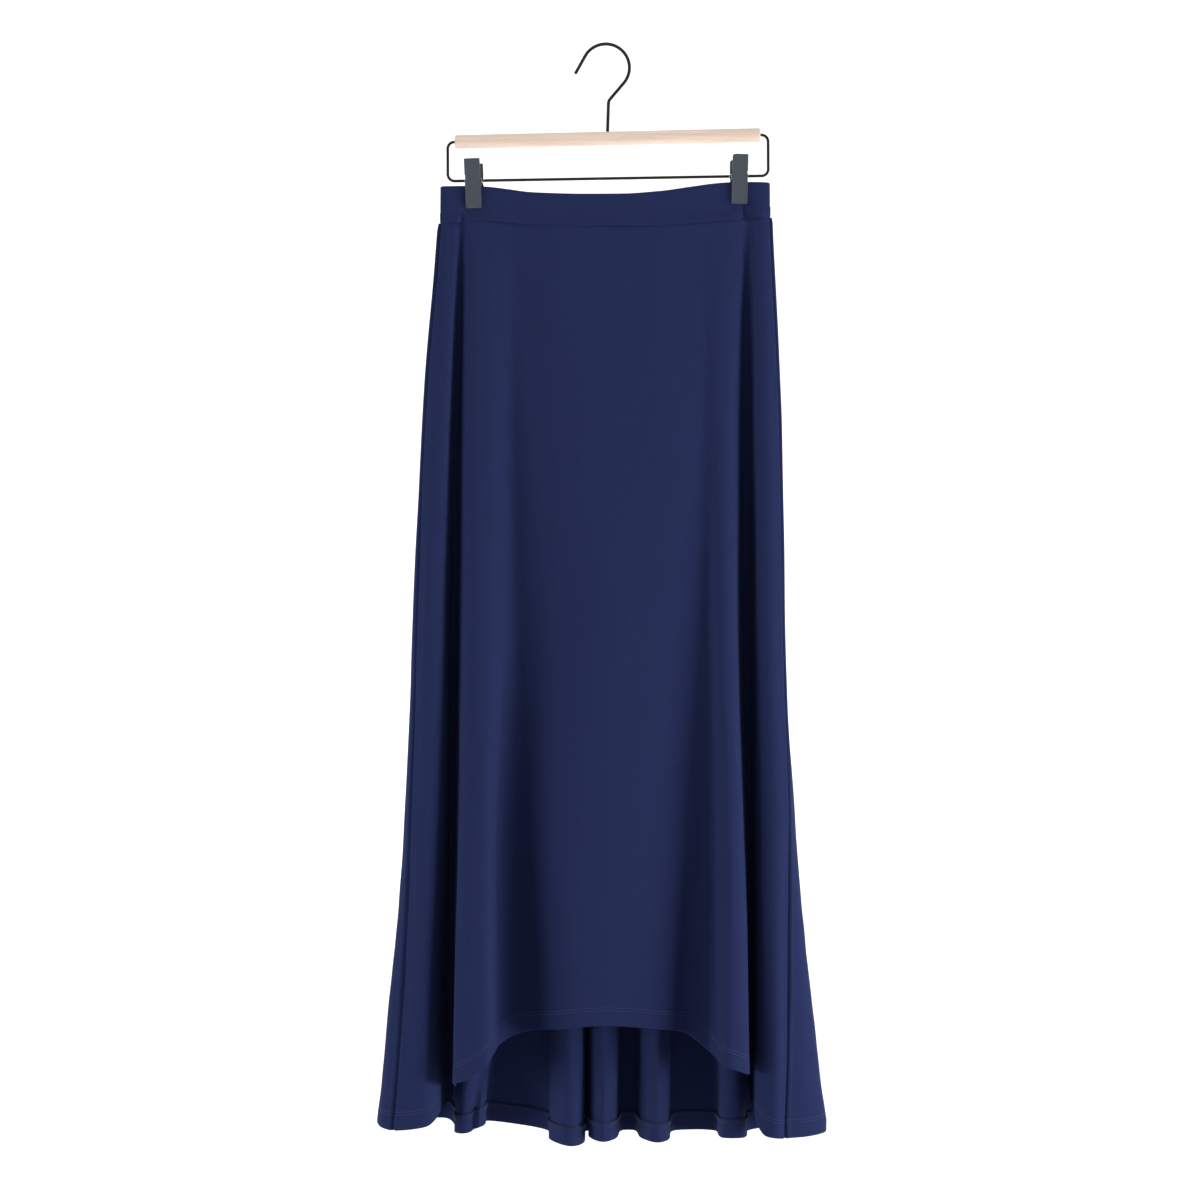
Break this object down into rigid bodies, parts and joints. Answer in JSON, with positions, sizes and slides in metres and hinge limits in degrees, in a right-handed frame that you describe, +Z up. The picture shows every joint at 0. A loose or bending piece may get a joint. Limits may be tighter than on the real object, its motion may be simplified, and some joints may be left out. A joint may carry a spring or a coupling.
{
  "type": "maxi skirt on a clip hanger",
  "caption": "Long A-line jersey skirt, shorter in front than behind, hung by its waistband from pinch clips on a wooden hanger with an open wire hook.",
  "frame": {"origin": "the highest point inside the hook's bend, in the middle of the wire, where the hanger bears on a rail or peg", "axes": "+Z up, +X to the right of someone facing the skirt, the skirt's front faces -Y"},
  "size_m": [0.471, 0.1084, 1.1518],
  "materials": {
    "skirt_jersey": "fine matt knit with a faint sheen",
    "band_jersey": "doubled fine knit",
    "hanger_wood": "sanded pale beech",
    "hanger_wire": "black, half gloss",
    "clip_plastic": "slate grey, moulded",
    "clip_spring": "bright wire"
  },
  "bodies": {
    "root": {"front_panel": "skirt_jersey", "back_panel": "skirt_jersey", "waistband": "band_jersey", "hanger_dowel": "hanger_wood", "hanger_hook": "hanger_wire", "hanger_frame": "hanger_wire", "clip_left_front_jaw": "clip_plastic", "clip_left_rear_jaw": "clip_plastic", "clip_left_spring": "clip_spring", "clip_right_front_jaw": "clip_plastic", "clip_right_rear_jaw": "clip_plastic", "clip_right_spring": "clip_spring"}
  },
  "joints": []
}
